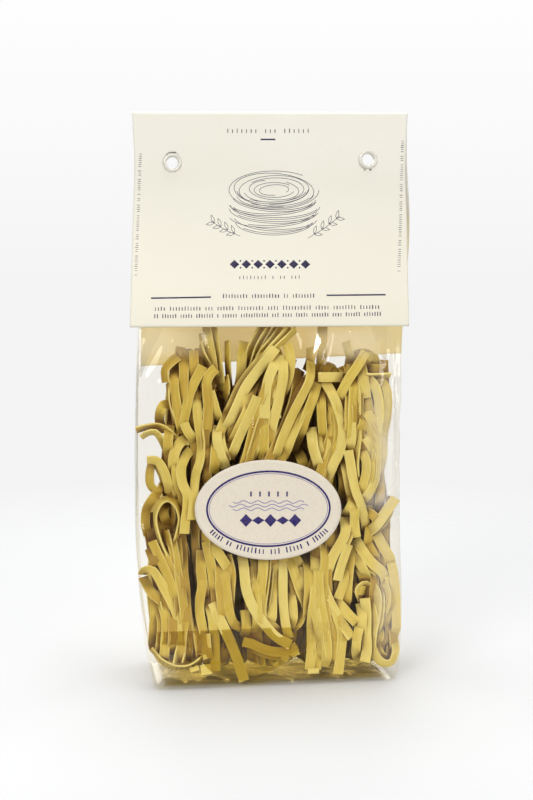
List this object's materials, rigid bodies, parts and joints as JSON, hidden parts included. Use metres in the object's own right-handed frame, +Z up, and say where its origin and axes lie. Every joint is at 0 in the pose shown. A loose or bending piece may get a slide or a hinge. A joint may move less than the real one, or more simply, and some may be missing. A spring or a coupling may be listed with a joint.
{
  "type": "bagged dry pasta nests",
  "caption": "Clear gusseted bag of dry ribbon pasta nests that stands on a flat base, its neck closed by a folded card with metal eyelets, and an oval paper label on its front.",
  "frame": {"origin": "on the surface that the pack stands on, under the middle of its bounding box", "axes": "+Z up along the pack to the fold of its card, -Y out of the labelled front, +X to the right of someone facing the label"},
  "size_m": [0.1403, 0.0682, 0.283],
  "materials": {
    "dry_pasta": "matte",
    "clear_film": "gloss",
    "header_card": "matte",
    "label_paper": "satin",
    "print_ink": "matte",
    "eyelet_metal": "satin"
  },
  "bodies": {
    "root": {"filled_bag": "dry_pasta", "header_card": "header_card", "oval_label": "label_paper", "eyelet_left": "eyelet_metal", "eyelet_right": "eyelet_metal"}
  },
  "joints": []
}
